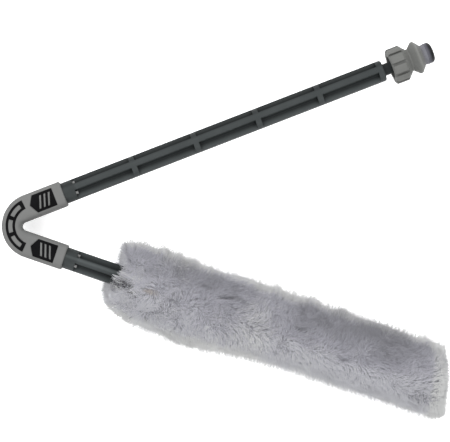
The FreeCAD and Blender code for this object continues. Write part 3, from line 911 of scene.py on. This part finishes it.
def comb(base, normal, lengthwise, random):
    """The way each fibre lies on the pile: down both sides, a little towards the far end, in swirls."""
    up = np.array([0.0, 0.0, 1.0])
    downhill = -(up - normal * (normal @ up)[:, None])
    flow = lengthwise * 0.55 + downhill * 0.75
    flow += noise_vectors(base, 38.0, 11) * 1.4 + noise_vectors(base, 125.0, 21) * 1.3
    flow += random.normal(size=base.shape) * 0.22
    at_mouth = 1 - smooth_step(base[:, 0], fleece.mouth, fleece.mouth + 16 * MM)
    flow[:, 0] -= at_mouth * 1.3
    flow -= (flow * normal).sum(1)[:, None] * normal
    return unit(flow)


class Locks:
    """The small locks that fibres gather into: where each starts, how it lies and how far it stands up."""

    def __init__(self, count, random):
        self.count = count
        along, angle = random.random(count), random.random(count) * 2 * math.pi
        self.base, normal, lengthwise = fleece.with_normal(along, angle)
        self.flow = comb(self.base, normal, lengthwise, random)
        self.lift = random.normal(size=count) * 0.25 * MM

    def nearest(self, points):
        """The number of the lock that each point is nearest to."""
        tree = kdtree.KDTree(self.count)
        for i, point in enumerate(self.base):
            tree.insert(point, i)
        tree.balance()
        return np.array([tree.find(p)[1] for p in points])


def pile_tone(along, across):
    """How light the pile is, as painted light and shade: along is a distance on the swab arm, and across goes from
    -1 to 1 towards the other arm. The side away from the other arm, both edges, the middle and the belly are
    painted lighter, and a long patch towards the other arm is painted darker."""
    # Painted light and shade across the pile and at its edges.
    upper, lower = smooth_step(across, 0.72, 0.98), smooth_step(-across, 0.72, 0.98)
    dark_edge = smooth_step(along, 160 * MM, 180 * MM) * (1 - smooth_step(along, 210 * MM, 224 * MM))
    dusk = 1 - 0.8 * smooth_step(along, 198 * MM, 226 * MM)
    dusk = dusk * smooth_step(along, 150 * MM, 185 * MM)
    tone = 0.20 - 0.62 * across + 0.8 * lower + 0.85 * upper * (1 - 0.85 * dark_edge)
    tone += 0.25 * smooth_step(-across, 0.0, 0.5)
    tone += 0.60 * smooth_step(along, 210 * MM, 228 * MM) * smooth_step(-across, 0.1, 0.5)
    tone += 0.60 * smooth_step(along, 135 * MM, 168 * MM) * smooth_step(-across, -0.05, 0.3)
    tone += 0.18 * bell(across, 0.0, 0.35)
    tone += 0.35 * bell(across, 0.0, 0.55) * bell(along, 96 * MM, 18 * MM)
    return tone - 0.45 * dusk * smooth_step(across, -0.1, 0.6)


def make_fibres(random):
    """Fine fibres laid over the pile in small locks, with some that stand off it as fuzz. tone says how light a
    fibre is, with painted light and shade in it, grey how little violet it is, and over_spot how much of it is
    over the tan spot."""
    total = 136000
    root_depth, lock_reach = 3.2 * MM, 3.2 * MM
    fuzz_share, ungathered = 0.2, 0.28
    along, angle = random.random(total), random.random(total) * 2 * math.pi
    base, normal, lengthwise = fleece.with_normal(along, angle)
    flow = comb(base, normal, lengthwise, random)
    locks = Locks(9000, random)
    owner = locks.nearest(base)
    parting = parting_depth(base, normal)
    bare = bare_share(base, normal)
    edge = smooth_step(np.hypot(normal[:, 1], np.minimum(normal[:, 0], 0)), 0.75, 0.97)
    fuzz = random.random(total) < fuzz_share
    long = random.uniform(2.2, 4.4, total) * MM * np.where(fuzz, 0.45, 1.0) * (1 - 0.5 * bare)
    stand = random.uniform(-0.7, 0.3, total) * MM + locks.lift[owner]
    stand = np.where(fuzz, random.uniform(0.5, 1.9, total) * (1 + 0.9 * edge) * MM, stand)
    stand -= parting * 1.8 * MM + bare * 1.2 * MM
    surface = base + normal * surface_height(base)[:, None]
    roots = surface - normal * root_depth
    tips = surface + normal * stand[:, None] + flow * long[:, None]
    pull = random.uniform(0.08, 0.5, locks.count)[owner] * (random.random(total) > ungathered)
    gather = locks.base[owner] + locks.flow[owner] * lock_reach - (base + flow * long[:, None])
    gather -= (gather * normal).sum(1)[:, None] * normal
    tips += gather * pull[:, None]
    bulge = normal * (0.35 * (root_depth + stand))[:, None] - flow * (long * 0.12)[:, None]
    bends = roots * 0.5 + tips * 0.5 + bulge
    lowest = -fleece.below + 0.15 * MM
    for points in (roots, bends, tips):
        points[:, 2] = np.maximum(points[:, 2], lowest)
    widths = np.where(fuzz, random.uniform(0.045, 0.08, total), random.uniform(0.07, 0.125, total)) * MM
    across = -base[:, 1] / fleece.half_wide
    end_face = smooth_step(along, 0.852, 0.880)
    # Painted light and shade in tone: the pile's lighter and darker sides, lighter fuzz at the edges, and painted
    # shadow down in the partings.
    tone = pile_tone(base[:, 0], across) + 0.3 * end_face + 0.7 * edge * fuzz - 2.2 * parting
    tone += turned_noise(locks.base, 33.0, 31)[owner] * 0.6
    tone += turned_noise(locks.base, 150.0, 32)[owner] * 0.28
    tone += random.normal(size=total) * 0.14
    grey = smooth_step(np.abs(across), 0.7, 0.95) + end_face
    grey += turned_noise(locks.base, 40.0, 33)[owner] * 0.9 + random.normal(size=total) * 0.25
    over_spot = bare_share(tips * 0.6 + bends * 0.4, normal)
    return roots, bends, tips, widths, normal, tone, grey, over_spot


def crinkled(points):
    """How near points are to the crinkled tuft of painted shadow, which runs along the arm's edge at the pile's
    mouth. Its numbers are millimetres along the arm and across it."""
    along, across = points[:, 0] / MM, -points[:, 1] / MM
    middle = -2.6 - 0.06 * (along - 57) + 0.35 * np.sin(along * 2.4)
    inside = smooth_step(along, 55.5, 58.0) * (1 - smooth_step(along, 67.0, 69.5))
    return bell(across, middle, 1.3) * inside * (points[:, 2] > 0)


def make_wisps(random):
    """Loose fibres that droop forward from the mouth's lip onto the arm, most of them in pointed locks."""
    total = 5200
    locks, free_share, held_share = 44, 0.3, 0.85
    first, last, deepest = 46, 120, 0.085  # degrees round the mouth, and how far over its lip
    lock_along = random.uniform(0.0, deepest, locks)
    lock_angle = np.radians(random.uniform(first, last, locks))
    lock_root = fleece.with_normal(lock_along, lock_angle)[0]
    lock_reach = random.uniform(0.3, 1.0, locks)
    lock_sweep = random.normal(size=locks) * 1.0 * MM
    lock_tone = random.normal(0.25, 0.45, locks)
    owner = random.integers(0, locks, total)
    free = random.random(total) < free_share
    along = np.clip(lock_along[owner] + random.normal(size=total) * 0.006, 0.0, deepest)
    along = np.where(free, random.uniform(0.0, deepest, total), along)
    angle = lock_angle[owner] + np.radians(random.normal(size=total) * 3.5)
    angle = np.where(free, np.radians(random.uniform(first, last, total)), angle)
    roots = fleece.with_normal(along, angle)[0]
    held = np.where(free, 0.0, held_share)[:, None]
    ends = roots * (1 - held) + lock_root[owner] * held
    outward = unit(ends * (0, 1, 1))
    lip_high = np.linalg.norm(roots[:, 1:], axis=1)
    longest = (2.4 + 6.0 * bell(angle, math.radians(84), math.radians(24))) * MM
    free_reach = 0.2 + 0.5 * random.random(total) ** 2
    held_reach = lock_reach[owner] * random.uniform(0.7, 1.0, total)
    long = np.where(free, free_reach, held_reach) * longest
    arm_high = 6.1 * MM
    tip_high = arm_high + (lip_high - arm_high) * random.uniform(0.1, 0.5, total)
    sweep = np.where(free, random.normal(size=total) * 0.8 * MM, lock_sweep[owner])
    sideways = np.cross(outward, (1.0, 0.0, 0.0)) * sweep[:, None]
    forward = np.array([-1.0, 0.0, 0.0])
    tips = ends * (1, 0, 0) + forward * long[:, None] + outward * tip_high[:, None] + sideways
    bends = (roots + tips) / 2 + outward * (random.uniform(0.2, 0.8, total) * MM)[:, None]
    roots = roots - forward * 1.5 * MM
    widths = random.uniform(0.045, 0.095, total) * MM
    tone = random.normal(0.0, 0.25, total) + np.where(free, 0.1, lock_tone[owner])
    grey = random.random(total)
    return roots, bends, tips, widths, outward, tone, grey, np.zeros(total)


# Tints of fibre, each family from dark to light: one a little violet, the other plain grey. Which tint a fibre
# takes partly follows the pile's painted light and shade.
VIOLET_TINTS = [
    ("fibres_dusk", (0.143, 0.143, 0.158)),
    ("fibres_deep", (0.186, 0.186, 0.207)),
    ("fibres_mid", (0.233, 0.233, 0.259)),
    ("fibres_soft", (0.280, 0.280, 0.308)),
    ("fibres_light", (0.338, 0.340, 0.363)),
]
GREY_TINTS = [
    ("fibres_grey_deep", (0.194, 0.195, 0.201)),
    ("fibres_grey_mid", (0.272, 0.273, 0.279)),
    ("fibres_grey_light", (0.337, 0.339, 0.344)),
    ("fibres_pale", (0.402, 0.405, 0.404)),
]
TAN = (0.268, 0.249, 0.241)
SHADOW = (0.030, 0.030, 0.034)
SHADOW_TONE, DARKEST_TONE, LIGHTEST_TONE = -2.2, -1.0, 1.1
MOST_STRANDS = 19500  # in one piece


def sort_by_tint(tone, is_grey, is_tan):
    """Names and colours of the tints, each with the numbers of the fibres that have it."""
    is_shadow = (tone < SHADOW_TONE) & ~is_tan
    plain_wool = ~is_tan & ~is_shadow
    picks = [
        ("fibres_tan", TAN, np.flatnonzero(is_tan)),
        ("fibres_shadow", SHADOW, np.flatnonzero(is_shadow)),
    ]
    for family, member in ((VIOLET_TINTS, ~is_grey & plain_wool), (GREY_TINTS, is_grey & plain_wool)):
        lows = np.linspace(DARKEST_TONE, LIGHTEST_TONE, len(family) + 1)[1:-1]
        step = np.searchsorted(lows, tone)
        for i, (name, colour) in enumerate(family):
            picks.append((name, colour, np.flatnonzero(member & (step == i))))
    return picks


def make_pile():
    """All fibres as pieces of one tint each, with the tuft of painted shadow and the tan spot raised a little."""
    random = np.random.default_rng(SEED)
    both = zip(make_fibres(random), make_wisps(random))
    roots, bends, tips, widths, normals, tone, grey, bare = (np.concatenate(pair) for pair in both)
    tuft = crinkled(tips * 0.6 + bends * 0.4) > random.random(len(tips))
    crinkle = turned_noise(tips, 760.0, 41) + random.normal(size=len(tips)) * 0.08
    # Painted shadow: most fibres of the tuft take the shadow tint, the rest a light one.
    tone = np.where(tuft, np.where(crinkle < 0.22, -3.0, 1.0), tone)
    raised = normals * np.where(tuft, 0.9, 0.5 * bare)[:, None] * MM
    ruffle = (tuft * 0.7 * MM)[:, None]
    tips = tips + raised + random.normal(size=tips.shape) * ruffle
    bends = bends + raised + random.normal(size=tips.shape) * ruffle
    is_tan = bare + random.random(len(bare)) * 0.3 > 0.62
    place = places["pile"]
    for name, colour, pick in sort_by_tint(tone, grey > 0.55, is_tan):
        material = fibre(name, colour)
        pieces = max(1, math.ceil(len(pick) / MOST_STRANDS))
        for k, part in enumerate(np.array_split(pick, pieces)):
            piece = f"{name}_{k + 1}"
            lines = [place.row(points[part]) for points in (roots, bends, tips)]
            outward = place.row(normals[part]) - np.array(place.origin)
            obj = new_object(piece, strand_mesh(piece, *lines, widths[part], outward, random))
            paint(obj, material)
            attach(obj, "swab_side")


def make_fleece():
    make_backing()
    make_underfur()
    make_pile()


make_fleece()


# ---------------------------------------------------------------- floor, light and camera


def make_stage():
    """A pale floor with a weak glow of its own."""
    material, _, shader = new_material("pale_floor")
    shader.inputs["Base Color"].default_value = (*even(0.92), 1.0)
    shader.inputs["Roughness"].default_value = 0.9
    shader.inputs["Emission Color"].default_value = (*even(1.0), 1.0)
    shader.inputs["Emission Strength"].default_value = 0.35
    half = 4.0
    corners = [(-half, -half, 0), (half, -half, 0), (half, half, 0), (-half, half, 0)]
    floor = new_object("floor", mesh_of("floor", corners, [(0, 1, 2, 3)]))
    paint(floor, material)


def area_light(name, place, aim, wide, power):
    light = bpy.data.lights.new(name, "AREA")
    light.shape = "DISK"
    light.size = wide
    light.energy = power
    obj = new_object(name, light)
    obj.location = place
    obj.rotation_euler = (Vector(aim) - Vector(place)).to_track_quat("-Z", "Y").to_euler()


def make_light():
    """An even white world and four soft boxes above the object's corners."""
    world = bpy.data.worlds.new("soft_white")
    scene.world = world
    world.use_nodes = True
    background = world.node_tree.nodes["Background"]
    background.inputs["Color"].default_value = (*even(1.0), 1.0)
    background.inputs["Strength"].default_value = 1.0
    for side_x, side_y, power in ((-1, 1, 16.0), (1, 1, 10.0), (-1, -1, 8.0), (1, -1, 9.0)):
        area_light("soft_box", (0.7 * side_x, 0.7 * side_y, 1.0), (0, 0, 0), 0.8, power)


def make_camera():
    """Straight down on the object, from far enough that it hardly shows perspective."""
    distance, view_wide = 1.0, 238.5 * MM
    centre_x, centre_y = -0.7 * MM, 4.85 * MM
    data = bpy.data.cameras.new("camera")
    camera = new_object("camera", data)
    height = places["pile"].origin.z
    camera.location = (centre_x, centre_y, height + distance)
    camera.rotation_euler = (0, 0, 0)
    data.sensor_width = 36.0
    data.lens = data.sensor_width * distance / view_wide
    data.clip_start = 0.05
    scene.camera = camera


make_stage()
make_light()
make_camera()
scene.view_settings.view_transform = "Standard"
